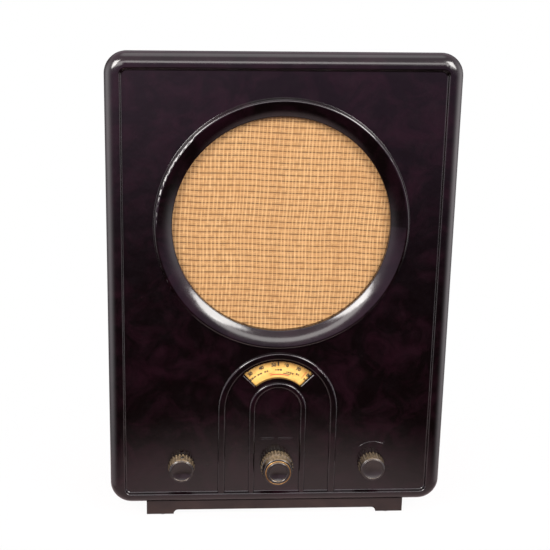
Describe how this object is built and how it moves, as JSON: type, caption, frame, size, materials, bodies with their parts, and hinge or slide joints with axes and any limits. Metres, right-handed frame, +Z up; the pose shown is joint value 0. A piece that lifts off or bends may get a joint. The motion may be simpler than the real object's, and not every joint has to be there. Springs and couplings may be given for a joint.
{
  "type": "bakelite table radio",
  "caption": "Upright moulded table radio with a round cloth-covered loudspeaker, an arched dial window and fluted knobs; the tuning knob turns the dial through gears.",
  "frame": {"origin": "middle of the footprint on the table, at the underside of the foot studs", "axes": "+Z up, the front with the loudspeaker faces -Y, +X to the right as seen from the front"},
  "size_m": [0.2756, 0.17, 0.385],
  "materials": {
    "case_bakelite": "polished, faint mottling",
    "plinth_bakelite": "satin",
    "knob_bakelite": "polished",
    "speaker_cloth": "woven, gold with brown lines",
    "pressed_board": "matt",
    "plywood": "raw",
    "paper_cone": "matt",
    "dial_card": "printed, satin",
    "index_enamel": "gloss",
    "plated_steel": "dull zinc plating",
    "bright_steel": "turned",
    "magnet_steel": "black lacquer",
    "brass": "turned, slightly tarnished",
    "aluminium_plate": "rolled",
    "glass": "clear, silvered at the top",
    "phenolic": "satin",
    "laminations": "black varnish",
    "coil_wire": "waxed winding",
    "can_paint": "grey enamel",
    "socket_ceramic": "glazed",
    "gland_rubber": "matt",
    "foot_metal": "worn"
  },
  "bodies": {
    "case": {"cabinet_shell": "case_bakelite", "plinth_front": "plinth_bakelite", "plinth_rear": "plinth_bakelite", "foot_studs": "foot_metal", "plinth_screws": "plated_steel", "rear_cover": "pressed_board", "rear_cover_screws": "plated_steel", "baffle_board": "plywood", "board_screws": "plated_steel", "speaker_cloth": "speaker_cloth", "speaker_basket": "plated_steel", "speaker_magnet": "magnet_steel", "pole_pieces": "bright_steel", "speaker_coil": "coil_wire", "speaker_surround": "paper_cone", "chassis": "plated_steel", "chassis_screws": "plated_steel", "spindle_bushes": "brass", "dial_index": "index_enamel", "stator_plates": "aluminium_plate", "capacitor_frame": "plated_steel", "feedback_capacitor": "phenolic", "band_switch_wafer": "phenolic", "tube_sockets": "socket_ceramic", "tube_bases": "phenolic", "tube_electrodes": "bright_steel", "detector_tube_bulb": "glass", "output_tube_bulb": "glass", "rectifier_tube_bulb": "glass", "mains_transformer_core": "laminations", "mains_transformer_winding": "coil_wire", "output_choke_core": "laminations", "output_choke_winding": "coil_wire", "filter_capacitor": "can_paint", "coil_former": "pressed_board", "coil_windings": "coil_wire", "socket_strip": "phenolic", "socket_bushes": "brass", "mains_switch": "phenolic", "cord_gland": "gland_rubber"},
    "dial_rotor": {"dial_gear": "brass", "dial_scale": "dial_card", "dial_spindle": "bright_steel", "rotor_plates": "aluminium_plate"},
    "tuning_control": {"tuning_knob": "knob_bakelite", "tuning_knob_ring": "brass", "tuning_knob_screw": "bright_steel", "tuning_knob_spindle": "bright_steel", "tuning_pinion": "brass"},
    "feedback_control": {"feedback_knob": "knob_bakelite", "feedback_knob_screw": "bright_steel", "feedback_knob_spindle": "bright_steel"},
    "band_control": {"band_knob": "knob_bakelite", "band_knob_screw": "bright_steel", "band_knob_spindle": "bright_steel", "band_switch_rotor": "phenolic"},
    "speaker_diaphragm": {"speaker_cone": "paper_cone", "drive_rod": "bright_steel"},
    "switch_toggle": {"mains_switch_lever": "bright_steel"}
  },
  "joints": [
    {"name": "dial_turn", "type": "hinge", "parent": "case", "child": "dial_rotor", "pos_m": [0, -0.041, 0.0962], "axis": [0, 1, 0], "range_deg": [-90, 90]},
    {"name": "tuning_turn", "type": "hinge", "parent": "case", "child": "tuning_control", "pos_m": [0, -0.061, 0.0465], "axis": [0, 1, 0], "range_deg": [-360, 360]},
    {"name": "feedback_turn", "type": "hinge", "parent": "case", "child": "feedback_control", "pos_m": [0.079, -0.061, 0.0465], "axis": [0, 1, 0], "range_deg": [-90, 90]},
    {"name": "band_turn", "type": "hinge", "parent": "case", "child": "band_control", "pos_m": [-0.079, -0.061, 0.0465], "axis": [0, 1, 0], "range_deg": [-30, 30]},
    {"name": "mains_switch_throw", "type": "hinge", "parent": "case", "child": "switch_toggle", "pos_m": [0.058, 0.0737, 0.044], "axis": [1, 0, 0], "range_deg": [0, 20]},
    {"name": "cone_travel", "type": "slide", "parent": "case", "child": "speaker_diaphragm", "axis": [0, 1, 0], "range_m": [-0.001, 0.001], "stiffness_N_per_m": 1500}
  ],
  "couplings": [
    {"joint": "tuning_turn", "follows": "dial_turn", "ratio": -4}
  ]
}
